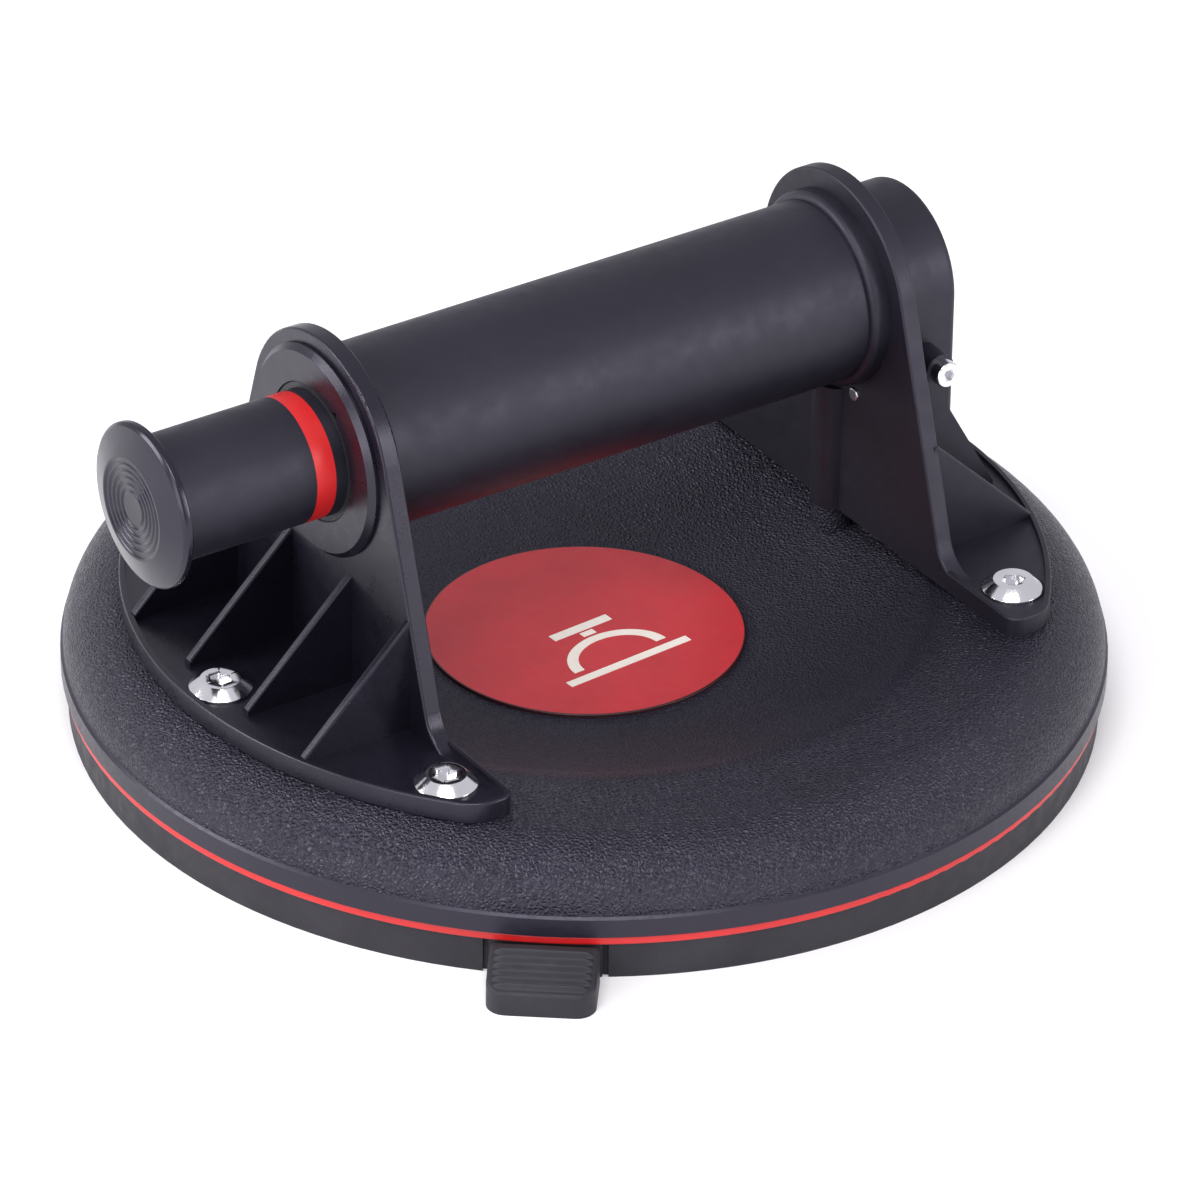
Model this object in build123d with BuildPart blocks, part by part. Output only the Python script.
"""Hand-held vacuum lifting cup with a pump in its handle.

Frame: millimetres, +Z up, origin at the centre of the suction face.  The handle and the pump
lie along X, with the plunger at -X.
"""

import os
from math import cos, radians, sin, tan

from build123d import *

os.makedirs("parts", exist_ok=True)

FIT = 0.05               # radial clearance between pressed or nested pieces

# ---- rim and body -------------------------------------------------------------------------
RIM_R = 105.0            # rubber rim at the suction face
PAD_TOP_Z = 8.0
PAD_TOP_R = 105.3
PAD_CEILING_Z = 6.0      # roof of the suction cavity
LIP_WIDTH = 6.0          # flat sealing lip
LIP_SLOPE = 5.0
GRIP_RING_RS = (30.0, 48.0, 78.0)
GRIP_RING_W = 2.4
GRIP_RING_H = 0.8
RELIEF_SLOT_L = 3.0      # slots in the rim beside the release tab
RELIEF_SLOT_W = 1.2
TRIM_R = 106.0
TRIM_T = 2.0
TRIM_ROUND = 0.5
SHELL_Z = PAD_TOP_Z + TRIM_T
SHELL_R = 106.4
BAND_TOP_Z = 14.5        # top of the smooth band round the shell
SHOULDER_R = 91.0        # where the shoulder meets the flat ring
DECK_Z = 26.5            # flat ring that the brackets stand on
DISH_R = 73.5            # crest of the dish
CREST_ROUND = 18.0
DISH_MID = (56.0, 19.4)
DISH_FLOOR_R = 35.0
DISH_FLOOR_Z = 14.2
SHELL_WALL = 3.0
HUB_R = DISH_FLOOR_R + 8  # solid middle of the shell, under the label
HUB_CHAMFER = (3.0, 1.5)
LABEL_R = 32.9
LABEL_T = 0.7
LABEL_ROUND = 0.25
PLATE_R = 96.0
PLATE_CLEAR = 0.5
PLATE_SCREW_R = 2.0
PLATE_SCREW_HEAD_R = 3.9
PLATE_SCREW_HEAD_T = 1.9
PLATE_SCREW_L = 4.2
PLATE_SCREW_AT = 50.0     # pitch circle radius
PLATE_SCREWS = 6
PLATE_SCREW_TURN = 30.0
PLATE_POST_R = 4.5

BAND_CHAMFER = 0.5
POST_R = 6.6             # posts under the bracket screws
STIFFENERS = 12
STIFFENER_TURN = 15.0
STIFFENER_R = (54.5, 99.0)   # inner and outer ends
INSERT_R = 4.1
INSERT_L = 9.5

# ---- brackets -----------------------------------------------------------------------------
FLANGE_R = 94.3
FLANGE_T = 3.3
FLANGE_LIP_H = 1.0
FLANGE_LIP_W = 1.2
FLANGE_HALF_Y = 65.5
FLANGE_CORNER_R = 9.0
FLANGE_HEEL_R = 3.0
WEB_IN_X = 59.4
WEB_T = 3.9
WEB_TOP_R = 24.8
WEB_TAPER = 17.0         # degrees off vertical
WEB_FLARE_R = 8.0
RIB_T = 1.9
RIB_TOP_Z = 54.3
RIB_END_X = 87.5
RIB_TOE = 0.2            # height of a rib's toe above the foot plate's lip
LEFT_RIB_YS = (11.0, 32.0)
RIGHT_RIB_Y = 32.3
SCREW_AXIS_X = 86.5      # screws on the X axis
SCREW_SIDE = (68.0, 53.6)
SCREW_SHANK_R = 3.0
SCREW_HEAD_R = 6.4
SCREW_RIM_T = 0.5
SCREW_CONE_H = 1.8
SCREW_CONE_TAPER = 52.0   # degrees off vertical
SCREW_HEX_R = 2.3
SCREW_HEX_DEPTH = 1.7
EDGE_ROUND = 0.5         # moulded edges of the brackets
SCREW_L = 11.0

# ---- handle and pump ----------------------------------------------------------------------
AXIS_Z = 77.2
HANDLE_R = 19.0
COLLAR_R = 20.6
COLLAR_W = 4.0
COLLAR_ROUND = 1.4
BORE_R = 15.3            # pump bore through webs and handle
LINER_R = 15.2
CYLINDER_R = 14.0
HOUSING_R = 18.2
HOUSING_END_X = 77.7
HOUSING_ROUND = 1.5
HOUSING_FLOOR_Z = 50.0
CHAMBER_END_X = 74.4
PLUNGER_R = 13.0
PLUNGER_WALL = 2.2
PLUNGER_CLEAR = 0.06
WIPER_R = 14.3
NICK_TURN = 125.0
NICK_W = 3.0
NICK_DEPTH = 1.5
CAP_FACE_X = -65.2
CAP_R = 22.0
CAP_CHAMFER = 1.2
CAP_IN_X = -57.0         # inner end of the cap, the stop for the piston
BUTTON_FACE_X = -106.3    # push face, proud of the rim
BUTTON_FACE_R = 10.7
BUTTON_RIM_X = -104.4
BUTTON_R = 17.0
BUTTON_BACK_X = -102.3
BUTTON_ROUND = 0.8
RIPPLE_RS = (3.8, 5.4, 7.0, 8.6, 10.2)
RIPPLE_W = 0.9
RIPPLE_DEPTH = 0.5
RED_BAND_X = (-71.8, -67.4)
PISTON_R = 13.92
PISTON_L = 12.0
SPRING_R = 9.0
SPRING_WIRE_R = 0.8
SPRING_TURNS = 14
VALVE_HOLE_R = 2.4
NIPPLE_X = 61.6
NIPPLE_R = 3.2
NIPPLE_BORE_R = 1.5
NIPPLE_TOP_Z = 46.0
NIPPLE_POST_R = 7.0      # post round the nipple under the shell
NIPPLE_PEG_R = 4.5       # post round the nipple from the dish up to the bracket
NIPPLE_PEG_L = 7.3
SOCKET_R = 5.1           # boss round the nipple on the web's inner face
SOCKET_TOP_Z = 55.0
LOCK_X = 69.6
LOCK_Z = 66.0
LOCK_SHANK_R = 1.5
LOCK_L = 18.0
LOCK_BOSS_R = 3.3
LOCK_BOSS_L = 6.0
PIN_Y = -9.0
PIN_Z = 56.0
PIN_R = 1.5
PIN_L = 8.0

# ---- release tab --------------------------------------------------------------------------
TAB_ANGLE = 232.4        # direction of the tab from +X
TAB_W = 21.5
TAB_ROOT_R = 106.6
TAB_TIP_R = 119.5
TAB_ROOT_Z = 8.6
TAB_TIP_Z = 5.2
TAB_RIBS = 6
TAB_CORNER_R = 4.0
TAB_FLAT = 1.0           # level strip beside the rim, before the slope
TAB_RIB_MARGIN = 2.2

WEB_OUT_X = WEB_IN_X + WEB_T
FLANGE_TOP_Z = DECK_Z + FLANGE_T
LIP_TOP_Z = FLANGE_TOP_Z + FLANGE_LIP_H
SCREW_PLACES = [(s * SCREW_AXIS_X, 0) for s in (-1, 1)]
SCREW_PLACES += [(a * SCREW_SIDE[0], b * SCREW_SIDE[1]) for a in (-1, 1) for b in (-1, 1)]


def write(part, name):
    """Label a finished piece and write its STEP file."""
    part.label = name
    export_step(part, f"parts/{name}.step")


def pump_plane(x):
    """Plane across the pump axis at x: its X is +Y of the frame, and its normal is +X."""
    return Plane(origin=(x, 0, AXIS_Z), x_dir=(0, 1, 0), z_dir=(1, 0, 0))


def side_plane(y):
    """Vertical plane at y: its X is +X, its Y is +Z, and its normal is -Y."""
    return Plane(origin=(0, y, 0), x_dir=(1, 0, 0), z_dir=(0, -1, 0))


# ---- pad ----------------------------------------------------------------------------------
with BuildPart() as suction_pad:
    with BuildSketch(Plane.XZ):
        with BuildLine():
            Polyline(
                (0, PAD_CEILING_Z), (RIM_R - LIP_WIDTH - LIP_SLOPE, PAD_CEILING_Z),
                (RIM_R - LIP_WIDTH, 0), (RIM_R, 0), (RIM_R, 2), (PAD_TOP_R, PAD_TOP_Z),
                (0, PAD_TOP_Z), close=True,
            )
        make_face()
    revolve(axis=Axis.Z)
    # low grip rings on the roof of the cavity
    for ring_r in GRIP_RING_RS:
        with BuildSketch(Plane.XY.offset(PAD_CEILING_Z)):
            Circle(ring_r + GRIP_RING_W / 2)
            Circle(ring_r - GRIP_RING_W / 2, mode=Mode.SUBTRACT)
        extrude(amount=-GRIP_RING_H)
    with Locations((NIPPLE_X, 0, PAD_TOP_Z)):
        Hole(NIPPLE_R + FIT)
    # relief slots in the rim on each side of the release tab
    for side in (-1, 1):
        with BuildSketch(Plane.XY):
            with Locations(Location((0, 0, 0), (0, 0, TAB_ANGLE))):
                with Locations((RIM_R, side * (TAB_W / 2 + 1.5 * RELIEF_SLOT_W / 2))):
                    Rectangle(RELIEF_SLOT_L, RELIEF_SLOT_W)
        extrude(amount=PAD_TOP_Z, mode=Mode.SUBTRACT)
write(suction_pad.part, "suction_pad")

# ---- release tab: local X runs outward along the tab --------------------------------------
with BuildPart() as release_tab:
    tab_plane = Plane.XY.rotated((0, 0, TAB_ANGLE))
    with BuildSketch(tab_plane) as outline:
        with Locations(((TAB_ROOT_R + TAB_TIP_R) / 2, 0)):
            Rectangle(TAB_TIP_R - TAB_ROOT_R, TAB_W)
        tip = outline.vertices().sort_by(lambda v: v.X ** 2 + v.Y ** 2)[-2:]
        fillet(tip, TAB_CORNER_R)
    extrude(amount=TAB_ROOT_Z)
    # sloping top, and the finger ribs across it
    tab_side = Plane(origin=(0, 0, 0), x_dir=tab_plane.x_dir, z_dir=-tab_plane.y_dir)
    slope = (TAB_ROOT_Z - TAB_TIP_Z) / (TAB_TIP_R - TAB_ROOT_R)
    with BuildSketch(tab_side):
        with BuildLine():
            Polyline(
                (TAB_ROOT_R + TAB_FLAT, TAB_ROOT_Z), (TAB_TIP_R, TAB_TIP_Z),
                (TAB_TIP_R + 1, TAB_TIP_Z), (TAB_TIP_R + 1, TAB_ROOT_Z + 1),
                (TAB_ROOT_R + TAB_FLAT, TAB_ROOT_Z + 1), close=True,
            )
        make_face()
    extrude(amount=TAB_W, both=True, mode=Mode.SUBTRACT)
    first_r = TAB_ROOT_R + 1.5 * TAB_FLAT
    pitch = (TAB_TIP_R - TAB_FLAT - first_r) / TAB_RIBS
    for i in range(TAB_RIBS):
        r = first_r + (i + 0.5) * pitch
        with BuildSketch(tab_side):
            with Locations((r, TAB_ROOT_Z - slope * (r - TAB_ROOT_R - TAB_FLAT))):
                Circle(pitch * 0.38)
        extrude(amount=TAB_W / 2 - TAB_RIB_MARGIN, both=True)
write(release_tab.part, "release_tab")

# ---- trim ring and backing plate ----------------------------------------------------------
with BuildPart() as trim_ring:
    with BuildSketch(Plane.XY.offset(PAD_TOP_Z)):
        Circle(TRIM_R)
        Circle(PLATE_R + PLATE_CLEAR, mode=Mode.SUBTRACT)
    extrude(amount=TRIM_T)
    fillet(trim_ring.edges().filter_by(GeomType.CIRCLE).sort_by(SortBy.RADIUS)[-2:], TRIM_ROUND)
write(trim_ring.part, "trim_ring")

with BuildPart() as backing_plate:
    with BuildSketch(Plane.XY.offset(PAD_TOP_Z)):
        Circle(PLATE_R)
        with Locations((NIPPLE_X, 0)):
            Circle(NIPPLE_R + PLATE_CLEAR / 2, mode=Mode.SUBTRACT)
    extrude(amount=TRIM_T)
    with Locations(Location((0, 0, PAD_TOP_Z), (180, 0, 0))):
        with PolarLocations(PLATE_SCREW_AT, PLATE_SCREWS, PLATE_SCREW_TURN):
            CounterSinkHole(PLATE_SCREW_R + 0.2, PLATE_SCREW_HEAD_R)
write(backing_plate.part, "backing_plate")

# ---- base shell ---------------------------------------------------------------------------
with BuildPart() as base_shell:
    inner_deck = DECK_Z - SHELL_WALL
    foot_r = SHELL_R - BAND_CHAMFER
    inner_r = SHELL_R - SHELL_WALL
    hub_end_r, hub_end_z = HUB_R + HUB_CHAMFER[0], SHELL_Z + HUB_CHAMFER[1]
    rim_wall = (inner_r - SHOULDER_R, inner_deck - BAND_TOP_Z)
    rim_face = (foot_r - SHOULDER_R, DECK_Z - BAND_TOP_Z)
    with BuildSketch(Plane.XZ) as section:
        with BuildLine():
            Polyline(
                (0, SHELL_Z), (HUB_R, SHELL_Z), (hub_end_r, hub_end_z),
                (DISH_R + 1, inner_deck), (SHOULDER_R, inner_deck),
            )
            EllipticalCenterArc((SHOULDER_R, BAND_TOP_Z), *rim_wall)
            Polyline(
                (inner_r, BAND_TOP_Z), (inner_r, SHELL_Z), (SHELL_R, SHELL_Z),
                (SHELL_R, BAND_TOP_Z - BAND_CHAMFER), (foot_r, BAND_TOP_Z),
            )
            EllipticalCenterArc((SHOULDER_R, BAND_TOP_Z), *rim_face)
            Line((SHOULDER_R, DECK_Z), (DISH_R, DECK_Z))
            ThreePointArc((DISH_R, DECK_Z), DISH_MID, (DISH_FLOOR_R, DISH_FLOOR_Z))
            Polyline((DISH_FLOOR_R, DISH_FLOOR_Z), (0, DISH_FLOOR_Z), (0, SHELL_Z))
        make_face()
        fillet(section.vertices().sort_by_distance((DISH_R, DECK_Z, 0))[0], CREST_ROUND)
    revolve(axis=Axis.Z)
    # posts under the bracket screws, radial stiffeners, posts for the plate screws
    with BuildSketch(Plane.XY.offset(SHELL_Z)):
        with Locations(*SCREW_PLACES):
            Circle(POST_R)
        with PolarLocations(0, STIFFENERS, STIFFENER_TURN):
            with Locations((sum(STIFFENER_R) / 2, 0)):
                Rectangle(STIFFENER_R[1] - STIFFENER_R[0], RIB_T)
    extrude(until=Until.NEXT)
    with BuildSketch(Plane.XY.offset(SHELL_Z)):
        with PolarLocations(PLATE_SCREW_AT, PLATE_SCREWS, PLATE_SCREW_TURN):
            Circle(PLATE_POST_R)
        with Locations((NIPPLE_X, 0)):
            Circle(NIPPLE_POST_R)
    extrude(until=Until.NEXT)
    with BuildSketch(Plane.XY.offset(DECK_Z)):
        with Locations((NIPPLE_X, 0)):
            Circle(NIPPLE_PEG_R)
    extrude(amount=-NIPPLE_PEG_L)
    with Locations(*[(x, y, DECK_Z) for x, y in SCREW_PLACES]):
        Hole(INSERT_R + FIT, INSERT_L + 0.5)
    with Locations(Location((0, 0, SHELL_Z), (180, 0, 0))):
        with PolarLocations(PLATE_SCREW_AT, PLATE_SCREWS, PLATE_SCREW_TURN):
            Hole(PLATE_SCREW_R, PLATE_SCREW_L + 0.3)
    with Locations((NIPPLE_X, 0, DECK_Z)):
        Hole(NIPPLE_R + FIT)
write(base_shell.part, "base_shell")

with BuildPart() as label_plate:
    with BuildSketch(Plane.XY.offset(DISH_FLOOR_Z)):
        Circle(LABEL_R)
    extrude(amount=LABEL_T)
    fillet(label_plate.edges().group_by(Axis.Z)[-1], LABEL_ROUND)
write(label_plate.part, "label_plate")

with BuildPart() as threaded_inserts:
    with BuildSketch(Plane.XY.offset(DECK_Z)):
        with Locations(*SCREW_PLACES):
            Circle(INSERT_R)
            Circle(SCREW_SHANK_R, mode=Mode.SUBTRACT)
    extrude(amount=-INSERT_L)
write(threaded_inserts.part, "threaded_inserts")

with BuildPart() as plate_screws:
    with BuildSketch(Plane.XY.offset(PAD_TOP_Z)):
        with PolarLocations(PLATE_SCREW_AT, PLATE_SCREWS, PLATE_SCREW_TURN):
            Circle(PLATE_SCREW_HEAD_R - FIT)
    extrude(amount=PLATE_SCREW_HEAD_T, taper=42)
    with BuildSketch(Plane.XY.offset(PAD_TOP_Z + PLATE_SCREW_HEAD_T)):
        with PolarLocations(PLATE_SCREW_AT, PLATE_SCREWS, PLATE_SCREW_TURN):
            Circle(PLATE_SCREW_R - FIT)
    extrude(amount=PLATE_SCREW_L)
write(plate_screws.part, "plate_screws")


# ---- brackets -----------------------------------------------------------------------------
def flange_face(side, inset=0.0):
    """Foot plate outline: the deck's arc, cut off flush with the web's inner face."""
    with BuildSketch() as foot:
        Circle(FLANGE_R - inset)
        long_x = FLANGE_R
        with Locations((side * (WEB_IN_X + inset + long_x / 2), 0)):
            Rectangle(long_x, 2 * (FLANGE_HALF_Y - inset), mode=Mode.INTERSECT)
        toes = foot.vertices().filter_by(lambda v: abs(v.X) > WEB_IN_X + inset + 0.1)
        fillet(toes, FLANGE_CORNER_R - inset)
        heels = foot.vertices().filter_by(lambda v: abs(v.X) < WEB_IN_X + inset + 0.1)
        fillet(heels, FLANGE_HEEL_R - inset)
    return foot.sketch


def web_face():
    """Web outline in the pump plane: round top, tapered sides, flared foot."""
    lean = radians(WEB_TAPER)
    top_y, top_z = WEB_TOP_R * cos(lean), WEB_TOP_R * sin(lean)
    foot_z = FLANGE_TOP_Z - AXIS_Z
    foot_y = top_y + (top_z - foot_z) * tan(lean)
    toe_y, toe_z = foot_y + 1.5 * WEB_FLARE_R, foot_z - FLANGE_T
    with BuildSketch() as outline:
        with BuildLine():
            ThreePointArc((-top_y, top_z), (0, WEB_TOP_R), (top_y, top_z))
            Polyline(
                (top_y, top_z), (foot_y, foot_z), (toe_y, foot_z), (toe_y, toe_z),
                (-toe_y, toe_z), (-toe_y, foot_z), (-foot_y, foot_z), (-top_y, top_z),
            )
        make_face()
        inner_corners = outline.vertices().filter_by(
            lambda v: abs(v.Y - foot_z) < 0.01 and abs(v.X) < foot_y + 1
        )
        fillet(inner_corners, WEB_FLARE_R)
    return outline.sketch


def rib(side, y):
    """Triangular rib from the web down to the foot plate, with its sloping edges rounded."""
    foot_z, inner_x, end_x = FLANGE_TOP_Z - 1, side * (WEB_OUT_X - 1), side * RIB_END_X
    with BuildPart() as plate:
        with BuildSketch(side_plane(y + RIB_T / 2)):
            with BuildLine():
                Polyline(
                    (inner_x, foot_z), (inner_x, RIB_TOP_Z), (side * WEB_OUT_X, RIB_TOP_Z),
                    (end_x, LIP_TOP_Z + RIB_TOE), (end_x, foot_z), close=True,
                )
            make_face()
        extrude(amount=RIB_T)
        slopes = plate.edges().filter_by(
            lambda e: abs((e @ 1 - e @ 0).X) > 5 and abs((e @ 1 - e @ 0).Z) > 5
        )
        fillet(slopes, EDGE_ROUND)
    return plate.part


def web(side):
    """Upright plate across the pump axis, with the rounded edges of a moulding."""
    with BuildPart() as plate:
        with BuildSketch(pump_plane(side * WEB_IN_X)):
            add(web_face())
        extrude(amount=side * WEB_T)
        rounded = plate.edges().filter_by(
            lambda e: abs((e @ 1 - e @ 0).X) < 0.01 and e.center().Z > FLANGE_TOP_Z + 0.5
        )
        fillet(rounded, EDGE_ROUND)
    return plate.part


def bracket_base(side):
    """Foot plate with its lip, and the web, with the pump bore and the screw holes."""
    upright = web(side)
    with BuildPart() as base:
        with BuildSketch(Plane.XY.offset(DECK_Z)):
            add(flange_face(side))
        extrude(amount=FLANGE_T + FLANGE_LIP_H)
        fillet(base.edges().group_by(Axis.Z)[-1], EDGE_ROUND)
        with BuildSketch(Plane.XY.offset(FLANGE_TOP_Z)):
            add(flange_face(side, FLANGE_LIP_W))
        extrude(amount=FLANGE_LIP_H, mode=Mode.SUBTRACT)
        add(upright)
        with BuildSketch(pump_plane(side * (WEB_IN_X - 1))):
            Circle(BORE_R)
        extrude(amount=side * (WEB_T + 2), mode=Mode.SUBTRACT)
        with Locations(*[(x, y, FLANGE_TOP_Z) for x, y in SCREW_PLACES if x * side > 0]):
            Hole(SCREW_SHANK_R + 0.25, FLANGE_T + 0.5)
    return base.part


left_base, right_base = bracket_base(-1), bracket_base(1)

with BuildPart() as left_bracket:
    add(left_base)
    for y in LEFT_RIB_YS:
        for sign in (-1, 1):
            add(rib(-1, sign * y))
write(left_bracket.part, "left_bracket")

with BuildPart() as right_bracket:
    add(right_base)
    for sign in (-1, 1):
        add(rib(1, sign * RIGHT_RIB_Y))
        # housing cheeks run down to the foot plate
        with BuildSketch(side_plane(sign * (HOUSING_R - RIB_T / 2) + RIB_T / 2)):
            with BuildLine():
                Polyline(
                    (WEB_OUT_X - 1, FLANGE_TOP_Z - 1), (WEB_OUT_X - 1, HOUSING_FLOOR_Z + 2),
                    (HOUSING_END_X, HOUSING_FLOOR_Z + 2), (HOUSING_END_X, HOUSING_FLOOR_Z),
                    (RIB_END_X + 1, LIP_TOP_Z + RIB_TOE), (RIB_END_X + 1, FLANGE_TOP_Z - 1), close=True,
                )
            make_face()
        extrude(amount=RIB_T)
    # arched pump housing
    with BuildSketch(pump_plane(WEB_IN_X + 1)):
        Circle(HOUSING_R)
        drop = AXIS_Z - HOUSING_FLOOR_Z
        with Locations((0, -drop / 2)):
            Rectangle(2 * HOUSING_R, drop)
    extrude(amount=HOUSING_END_X - WEB_IN_X - 1)
    end_edges = right_bracket.edges().filter_by(
        lambda e: abs(e.center().X - HOUSING_END_X) < 0.01 and e.center().Z > HOUSING_FLOOR_Z + 1
    )
    fillet(end_edges, HOUSING_ROUND)
    # boss for the nipple, standing proud of the web's inner face
    with BuildSketch(Plane.XY.offset(DECK_Z)):
        with Locations((NIPPLE_X, 0)):
            Circle(SOCKET_R)
    extrude(amount=SOCKET_TOP_Z - DECK_Z)
    # screw boss on the near cheek
    with BuildSketch(side_plane(-HOUSING_R + 1)):
        with Locations((LOCK_X, LOCK_Z)):
            Circle(LOCK_BOSS_R)
    extrude(amount=LOCK_BOSS_L + 1)
    with BuildSketch(pump_plane(WEB_IN_X - 1)):
        Circle(BORE_R)
    extrude(amount=CHAMBER_END_X - WEB_IN_X + 1, mode=Mode.SUBTRACT)
    # nipple hole, and the air passage from it up to the chamber
    with BuildSketch(Plane.XY.offset(DECK_Z)):
        with Locations((NIPPLE_X, 0)):
            Circle(NIPPLE_R + FIT)
    extrude(amount=NIPPLE_TOP_Z + 0.2 - DECK_Z, mode=Mode.SUBTRACT)
    with BuildSketch(Plane.XY.offset(NIPPLE_TOP_Z)):
        with Locations((NIPPLE_X, 0)):
            Circle(NIPPLE_BORE_R)
    extrude(amount=AXIS_Z - NIPPLE_TOP_Z - CYLINDER_R, mode=Mode.SUBTRACT)
    with BuildSketch(side_plane(-HOUSING_R - LOCK_BOSS_L)):
        with Locations((LOCK_X, LOCK_Z)):
            Circle(LOCK_SHANK_R + 0.1)
    extrude(amount=-LOCK_L - 0.5, mode=Mode.SUBTRACT)
    with BuildSketch(pump_plane(WEB_IN_X)):
        with Locations((PIN_Y, PIN_Z - AXIS_Z)):
            Circle(PIN_R + 0.02)
    extrude(amount=PIN_L, mode=Mode.SUBTRACT)
write(right_bracket.part, "right_bracket")

# ---- bracket screws: flat chamfered heads with a hex socket -------------------------------
with BuildPart() as bracket_screws:
    rim_top_z = FLANGE_TOP_Z + SCREW_RIM_T
    for x, y in SCREW_PLACES:
        with BuildSketch(Plane.XY.offset(FLANGE_TOP_Z)):
            with Locations((x, y)):
                Circle(SCREW_HEAD_R)
        extrude(amount=SCREW_RIM_T)
        with BuildSketch(Plane.XY.offset(rim_top_z)):
            with Locations((x, y)):
                Circle(SCREW_HEAD_R)
        extrude(amount=SCREW_CONE_H, taper=SCREW_CONE_TAPER)
        with BuildSketch(Plane.XY.offset(FLANGE_TOP_Z)):
            with Locations((x, y)):
                Circle(SCREW_SHANK_R)
        extrude(amount=-SCREW_L)
        with BuildSketch(Plane.XY.offset(rim_top_z + SCREW_CONE_H)):
            with Locations((x, y)):
                RegularPolygon(SCREW_HEX_R, 6)
        extrude(amount=-SCREW_HEX_DEPTH, mode=Mode.SUBTRACT)
write(bracket_screws.part, "bracket_screws")

# ---- handle -------------------------------------------------------------------------------
with BuildPart() as handle_tube:
    with BuildSketch(pump_plane(-WEB_IN_X)):
        Circle(HANDLE_R)
        Circle(BORE_R, mode=Mode.SUBTRACT)
    extrude(amount=2 * WEB_IN_X)
write(handle_tube.part, "handle_tube")

with BuildPart() as handle_collar:
    with BuildSketch(pump_plane(WEB_IN_X - COLLAR_W)):
        Circle(COLLAR_R)
        Circle(HANDLE_R + 0.02, mode=Mode.SUBTRACT)
    extrude(amount=COLLAR_W)
    inner_rims = handle_collar.edges().filter_by(GeomType.CIRCLE).group_by(Axis.X)[0]
    fillet(inner_rims.sort_by(SortBy.RADIUS)[-1], COLLAR_ROUND)
write(handle_collar.part, "handle_collar")


# ---- turned pieces of the pump: profiles of (x, radius) round the pump axis ---------------
def turned(points):
    """Solid of revolution round the pump axis from a closed (x, radius) outline."""
    with BuildPart() as body:
        with BuildSketch(Plane(origin=(0, 0, AXIS_Z), x_dir=(1, 0, 0), z_dir=(0, -1, 0))):
            with BuildLine():
                Polyline(*points, close=True)
            make_face()
        revolve(axis=Axis((0, 0, AXIS_Z), (1, 0, 0)))
    return body.part


LINER_END_X = WEB_IN_X - 3
with BuildPart() as pump_cylinder:
    add(turned([
        (CAP_IN_X, CYLINDER_R), (CAP_IN_X, LINER_R), (LINER_END_X, LINER_R), (LINER_END_X, CYLINDER_R),
    ]))
write(pump_cylinder.part, "pump_cylinder")

CAP_BACK_X = -WEB_OUT_X - 0.1
BORE_CAP_R = PLUNGER_R + PLUNGER_CLEAR
WIPER_IN_X = CAP_FACE_X + 2.2
with BuildPart() as end_cap:
    add(turned([
        (CAP_FACE_X + 0.2, WIPER_R), (CAP_FACE_X, WIPER_R + 0.2), (CAP_FACE_X, CAP_R - CAP_CHAMFER),
        (CAP_FACE_X + CAP_CHAMFER, CAP_R), (CAP_BACK_X, CAP_R), (CAP_BACK_X, LINER_R),
        (CAP_IN_X, LINER_R), (CAP_IN_X, BORE_CAP_R), (WIPER_IN_X, BORE_CAP_R), (WIPER_IN_X, WIPER_R),
    ]))
    # two opposite nicks for the assembly key
    with BuildSketch(pump_plane(CAP_FACE_X)):
        for turn in (NICK_TURN, NICK_TURN + 180):
            with Locations(Location((0, 0, 0), (0, 0, turn))):
                with Locations((WIPER_R + 0.5, 0)):
                    Triangle(a=NICK_W, B=55, C=55, rotation=-90)
    extrude(amount=NICK_DEPTH, mode=Mode.SUBTRACT)
write(end_cap.part, "end_cap")

with BuildPart() as wiper_ring:
    add(turned([
        (CAP_FACE_X + 0.3, BORE_CAP_R), (CAP_FACE_X + 0.3, WIPER_R - 0.05),
        (WIPER_IN_X, WIPER_R - 0.05), (WIPER_IN_X, BORE_CAP_R),
    ]))
write(wiper_ring.part, "wiper_ring")

# ---- plunger ------------------------------------------------------------------------------
TUBE_IN_R = PLUNGER_R - PLUNGER_WALL
BAND_DEPTH = 0.8
SPIGOT_L = 8.0
with BuildPart() as plunger_tube:
    add(turned([
        (BUTTON_BACK_X, TUBE_IN_R), (BUTTON_BACK_X, PLUNGER_R), (RED_BAND_X[0], PLUNGER_R),
        (RED_BAND_X[0], PLUNGER_R - BAND_DEPTH), (RED_BAND_X[1], PLUNGER_R - BAND_DEPTH),
        (RED_BAND_X[1], PLUNGER_R), (CAP_IN_X, PLUNGER_R), (CAP_IN_X, TUBE_IN_R),
    ]))
write(plunger_tube.part, "plunger_tube")

with BuildPart() as indicator_ring:
    add(turned([
        (RED_BAND_X[0], PLUNGER_R - BAND_DEPTH), (RED_BAND_X[0], PLUNGER_R),
        (RED_BAND_X[1], PLUNGER_R), (RED_BAND_X[1], PLUNGER_R - BAND_DEPTH),
    ]))
write(indicator_ring.part, "indicator_ring")

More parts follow.
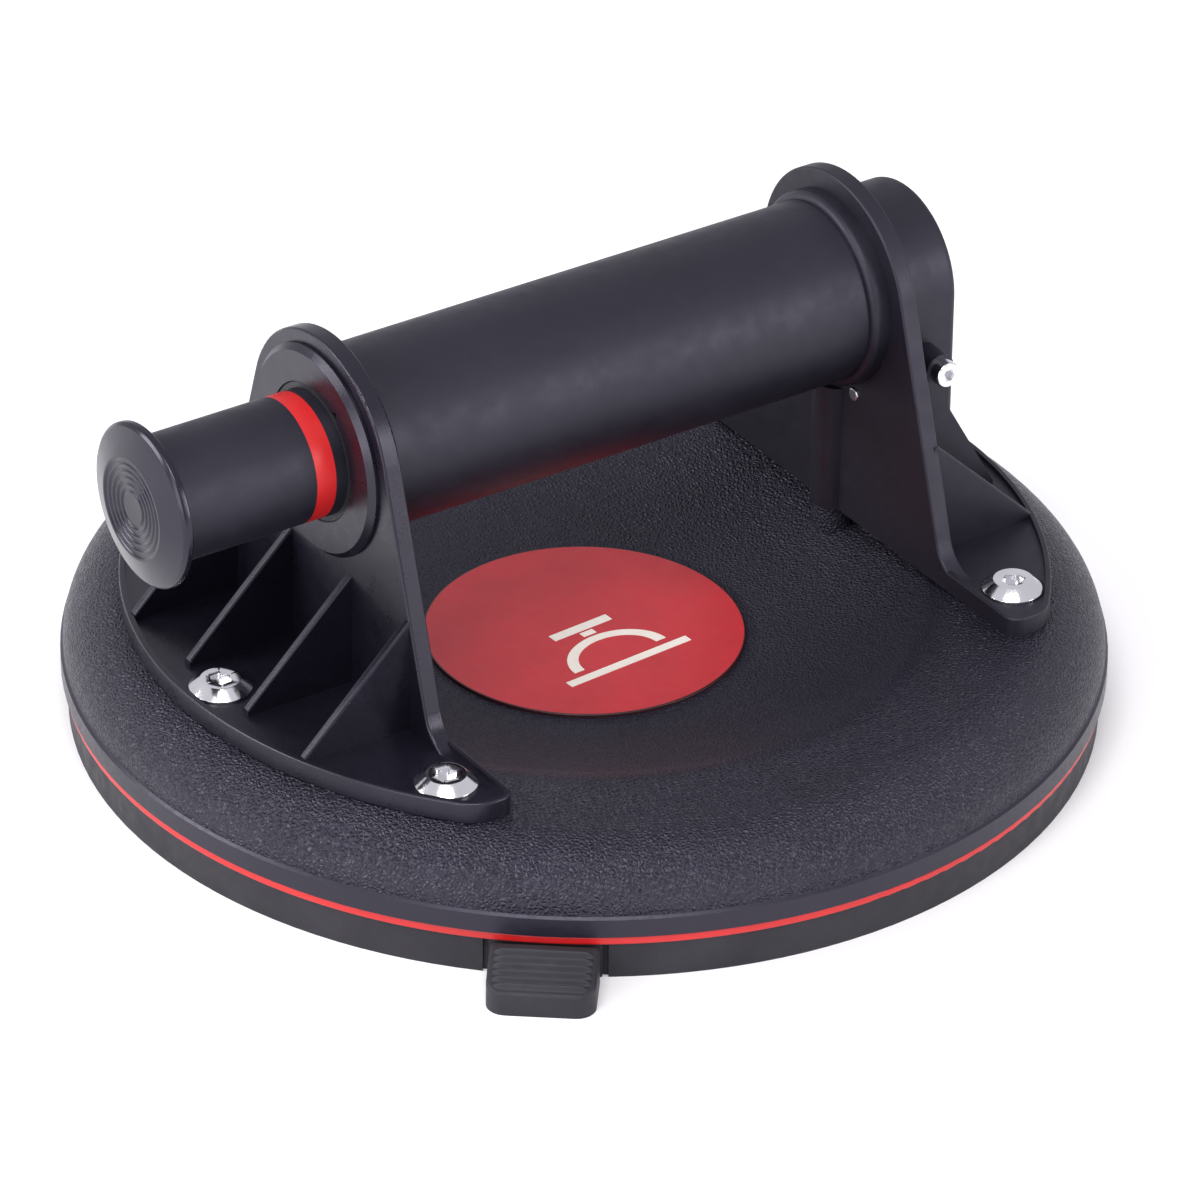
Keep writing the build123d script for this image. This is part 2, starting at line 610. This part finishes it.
with BuildPart() as plunger_button:
    add(turned([
        (BUTTON_FACE_X, 0), (BUTTON_FACE_X, BUTTON_FACE_R), (BUTTON_RIM_X, BUTTON_R - BUTTON_ROUND),
        (BUTTON_RIM_X + BUTTON_ROUND, BUTTON_R), (BUTTON_BACK_X - BUTTON_ROUND / 2, BUTTON_R),
        (BUTTON_BACK_X, BUTTON_R - BUTTON_ROUND / 2),
        (BUTTON_BACK_X, TUBE_IN_R), (BUTTON_BACK_X + SPIGOT_L, TUBE_IN_R),
        (BUTTON_BACK_X + SPIGOT_L, TUBE_IN_R - 2), (BUTTON_BACK_X, TUBE_IN_R - 2), (BUTTON_BACK_X, 0),
    ]))
    # ripple rings in the push face
    for ring_r in RIPPLE_RS:
        with BuildSketch(pump_plane(BUTTON_FACE_X)):
            Circle(ring_r + RIPPLE_W / 2)
            Circle(ring_r - RIPPLE_W / 2, mode=Mode.SUBTRACT)
        extrude(amount=RIPPLE_DEPTH, mode=Mode.SUBTRACT)
write(plunger_button.part, "plunger_button")

PISTON_END_X = CAP_IN_X + PISTON_L
GROOVE_X = (CAP_IN_X + 3.5, CAP_IN_X + 7.5)
GROOVE_R = 11.2
BOSS_R = 7.4
BOSS_L = 3.0
with BuildPart() as piston:
    add(turned([
        (CAP_IN_X - SPIGOT_L, 0), (CAP_IN_X - SPIGOT_L, TUBE_IN_R), (CAP_IN_X, TUBE_IN_R),
        (CAP_IN_X, PISTON_R), (GROOVE_X[0], PISTON_R), (GROOVE_X[0], GROOVE_R),
        (GROOVE_X[1], GROOVE_R), (GROOVE_X[1], PISTON_R), (PISTON_END_X, PISTON_R),
        (PISTON_END_X, BOSS_R), (PISTON_END_X + BOSS_L, BOSS_R - 0.4), (PISTON_END_X + BOSS_L, 0),
    ]))
write(piston.part, "piston")

with BuildPart() as piston_seal:
    back_x, lip_x = GROOVE_X[0] + 0.2, GROOVE_X[1] - 0.2
    add(turned([
        (back_x, GROOVE_R), (back_x, GROOVE_R + 1.6), (lip_x - 0.1, PISTON_R + 0.02),
        (lip_x, PISTON_R - 0.6), (back_x + 1.4, GROOVE_R + 1.0), (back_x + 2.4, GROOVE_R),
    ]))
write(piston_seal.part, "piston_seal")


def coil(x_start, x_end, mean_r, wire_r, turns):
    """Compression spring along the pump axis."""
    with BuildPart() as spring:
        with BuildLine():
            length = x_end - x_start - 2 * wire_r - 0.1
            start = (x_start + wire_r + 0.05, 0, AXIS_Z)
            path = Helix(length / turns, length, mean_r, center=start, direction=(1, 0, 0))
        with BuildSketch(Plane(origin=path @ 0, z_dir=path % 0)):
            Circle(wire_r)
        sweep(path=path, is_frenet=True)
    return spring.part


SPIGOT_X = LINER_END_X - 4.5
with BuildPart() as return_spring:
    add(coil(PISTON_END_X, SPIGOT_X, SPRING_R, SPRING_WIRE_R, SPRING_TURNS))
write(return_spring.part, "return_spring")

# ---- pump head and check valve ------------------------------------------------------------
SEAT_X = NIPPLE_X - 3.5          # poppet closes against this face
HEAD_FACE_X = LINER_END_X
HEAD_END_X = CHAMBER_END_X - 0.2
RING_CUT = 1.0                   # depth of the sealing ring grooves
HEAD_RING_XS = (NIPPLE_X - 4.2, NIPPLE_X + 2.6)
RING_W = 1.5
CAGE_R = 5.2
AIR_GROOVE = (NIPPLE_X - 1.8, 3.6, 1.6)     # start, width and depth
PORT_END_X = NIPPLE_X + 2.5
with BuildPart() as valve_body:
    outline = [(SPIGOT_X, CAGE_R), (SPIGOT_X, CYLINDER_R - 0.1)]
    ring_start, ring_end = SPIGOT_X + RING_W, SPIGOT_X + 2 * RING_W
    outline += [(ring_start, CYLINDER_R - 0.1), (ring_start, CYLINDER_R - RING_CUT)]
    outline += [(ring_end, CYLINDER_R - RING_CUT), (ring_end, CYLINDER_R - 0.1)]
    outline += [(HEAD_FACE_X, CYLINDER_R - 0.1), (HEAD_FACE_X, LINER_R)]
    grooves = [(x, RING_W, RING_CUT) for x in HEAD_RING_XS] + [AIR_GROOVE]
    for x, width, depth in sorted(grooves):
        outline += [(x, LINER_R), (x, LINER_R - depth)]
        outline += [(x + width, LINER_R - depth), (x + width, LINER_R)]
    outline += [(HEAD_END_X, LINER_R), (HEAD_END_X, 0), (PORT_END_X, 0), (PORT_END_X, VALVE_HOLE_R)]
    outline += [(SEAT_X, VALVE_HOLE_R), (SEAT_X, CAGE_R)]
    add(turned(outline))
    # radial passage from the air groove to the centre, and the lock screw's hole
    with BuildSketch(Plane.XY.offset(AXIS_Z - LINER_R - 1)):
        with Locations((NIPPLE_X, 0)):
            Circle(NIPPLE_BORE_R)
    extrude(amount=LINER_R, mode=Mode.SUBTRACT)
    with BuildSketch(side_plane(-LINER_R)):
        with Locations((LOCK_X, LOCK_Z)):
            Circle(LOCK_SHANK_R + 0.02)
    extrude(amount=-LINER_R + 6, mode=Mode.SUBTRACT)
write(valve_body.part, "valve_body")

RETAINER_X = SPIGOT_X + 0.2
RETAINER_T = 1.6
POPPET_R = 4.0
POPPET_T = 1.4
STEM_L = 2.4
VENT_R = 0.9
VENTS_AT = 3.4
CHECK_SPRING_R = 2.4
CHECK_WIRE_R = 0.25
CHECK_TURNS = 3
with BuildPart() as valve_retainer:
    add(turned([
        (RETAINER_X, 1.4), (RETAINER_X, CAGE_R - 0.02), (RETAINER_X + RETAINER_T, CAGE_R - 0.02),
        (RETAINER_X + RETAINER_T, 1.4),
    ]))
    with BuildSketch(pump_plane(RETAINER_X)):
        with PolarLocations(VENTS_AT, 4, 45):
            Circle(VENT_R)
    extrude(amount=RETAINER_T, mode=Mode.SUBTRACT)
write(valve_retainer.part, "valve_retainer")

with BuildPart() as check_poppet:
    add(turned([
        (SEAT_X, 0), (SEAT_X, POPPET_R), (SEAT_X - POPPET_T, POPPET_R), (SEAT_X - POPPET_T, 1.2),
        (SEAT_X - POPPET_T - STEM_L, 1.0), (SEAT_X - POPPET_T - STEM_L, 0),
    ]))
write(check_poppet.part, "check_poppet")

with BuildPart() as check_spring:
    spring_end_x = SEAT_X - POPPET_T
    add(coil(RETAINER_X + RETAINER_T, spring_end_x, CHECK_SPRING_R, CHECK_WIRE_R, CHECK_TURNS))
write(check_spring.part, "check_spring")


# ---- sealing rings ------------------------------------------------------------------------
def pump_seal(x, ring_r, section_r):
    """O-ring round the pump axis at x."""
    with BuildPart() as ring:
        with BuildSketch(Plane(origin=(x, 0, AXIS_Z + ring_r), x_dir=(1, 0, 0), z_dir=(0, -1, 0))):
            Circle(section_r)
        revolve(axis=Axis((0, 0, AXIS_Z), (1, 0, 0)))
    return ring.part


with BuildPart() as cylinder_oring:
    add(pump_seal(SPIGOT_X + 1.5 * RING_W, CYLINDER_R - RING_CUT / 2 - 0.02, RING_CUT / 2 - 0.02))
write(cylinder_oring.part, "cylinder_oring")

with BuildPart() as head_orings:
    for x in HEAD_RING_XS:
        add(pump_seal(x + RING_W / 2, LINER_R - RING_CUT / 2 + 0.02, RING_CUT / 2 - 0.02))
write(head_orings.part, "head_orings")

# ---- nipple from the housing down through the shell into the suction cavity ----------------
NIPPLE_FLANGE_R = 6.5
NIPPLE_FLANGE_T = 1.2
FILTER_R = 2.9
FILTER_T = 1.6
NIPPLE_RING_ZS = (14.0, 42.0)
NIPPLE_FOOT_Z = PAD_CEILING_Z - NIPPLE_FLANGE_T
nipple_outline = [(NIPPLE_BORE_R, NIPPLE_TOP_Z), (NIPPLE_BORE_R, NIPPLE_FOOT_Z + FILTER_T)]
nipple_outline += [(FILTER_R, NIPPLE_FOOT_Z + FILTER_T), (FILTER_R, NIPPLE_FOOT_Z)]
nipple_outline += [(NIPPLE_FLANGE_R, NIPPLE_FOOT_Z), (NIPPLE_FLANGE_R, PAD_CEILING_Z)]
nipple_outline += [(NIPPLE_R, PAD_CEILING_Z)]
for z in NIPPLE_RING_ZS:
    nipple_outline += [(NIPPLE_R, z), (NIPPLE_R - RING_CUT, z)]
    nipple_outline += [(NIPPLE_R - RING_CUT, z + RING_W), (NIPPLE_R, z + RING_W)]
nipple_outline += [(NIPPLE_R, NIPPLE_TOP_Z)]
with BuildPart() as vacuum_nipple:
    with BuildSketch(Plane(origin=(NIPPLE_X, 0, 0), x_dir=(1, 0, 0), z_dir=(0, -1, 0))):
        with BuildLine():
            Polyline(*nipple_outline, close=True)
        make_face()
    revolve(axis=Axis((NIPPLE_X, 0, 0), (0, 0, 1)))
write(vacuum_nipple.part, "vacuum_nipple")

with BuildPart() as nipple_orings:
    for z in NIPPLE_RING_ZS:
        with BuildSketch(side_plane(0)):
            with Locations((NIPPLE_X + NIPPLE_R - RING_CUT / 2, z + RING_W / 2)):
                Circle(RING_CUT / 2 - 0.02)
        revolve(axis=Axis((NIPPLE_X, 0, 0), (0, 0, 1)))
write(nipple_orings.part, "nipple_orings")

with BuildPart() as inlet_filter:
    with BuildSketch(Plane.XY.offset(NIPPLE_FOOT_Z)):
        with Locations((NIPPLE_X, 0)):
            Circle(FILTER_R - 0.02)
    extrude(amount=FILTER_T)
write(inlet_filter.part, "inlet_filter")

# ---- small fasteners of the housing -------------------------------------------------------
LOCK_HEAD_R = 2.75
LOCK_HEAD_L = 3.0
LOCK_HEX_R = 1.45
LOCK_HEX_DEPTH = 1.5
LOCK_HEAD_ROUND = 0.35
PIN_STAND = 0.5          # how far the pin shows beyond the web
lock_y = -HOUSING_R - LOCK_BOSS_L
with BuildPart() as pump_lock_screw:
    with BuildSketch(side_plane(lock_y)):
        with Locations((LOCK_X, LOCK_Z)):
            Circle(LOCK_HEAD_R)
    extrude(amount=LOCK_HEAD_L)
    fillet(pump_lock_screw.edges().group_by(Axis.Y)[0], LOCK_HEAD_ROUND)
    with BuildSketch(side_plane(lock_y)):
        with Locations((LOCK_X, LOCK_Z)):
            Circle(LOCK_SHANK_R)
    extrude(amount=-LOCK_L)
    with BuildSketch(side_plane(lock_y - LOCK_HEAD_L)):
        with Locations((LOCK_X, LOCK_Z)):
            RegularPolygon(LOCK_HEX_R, 6)
    extrude(amount=-LOCK_HEX_DEPTH, mode=Mode.SUBTRACT)
write(pump_lock_screw.part, "pump_lock_screw")

with BuildPart() as locating_pin:
    with BuildSketch(pump_plane(WEB_IN_X - PIN_STAND)):
        with Locations((PIN_Y, PIN_Z - AXIS_Z)):
            Circle(PIN_R)
    extrude(amount=PIN_L + PIN_STAND)
    fillet(locating_pin.edges().group_by(Axis.X)[0], 0.8 * PIN_STAND)
write(locating_pin.part, "locating_pin")
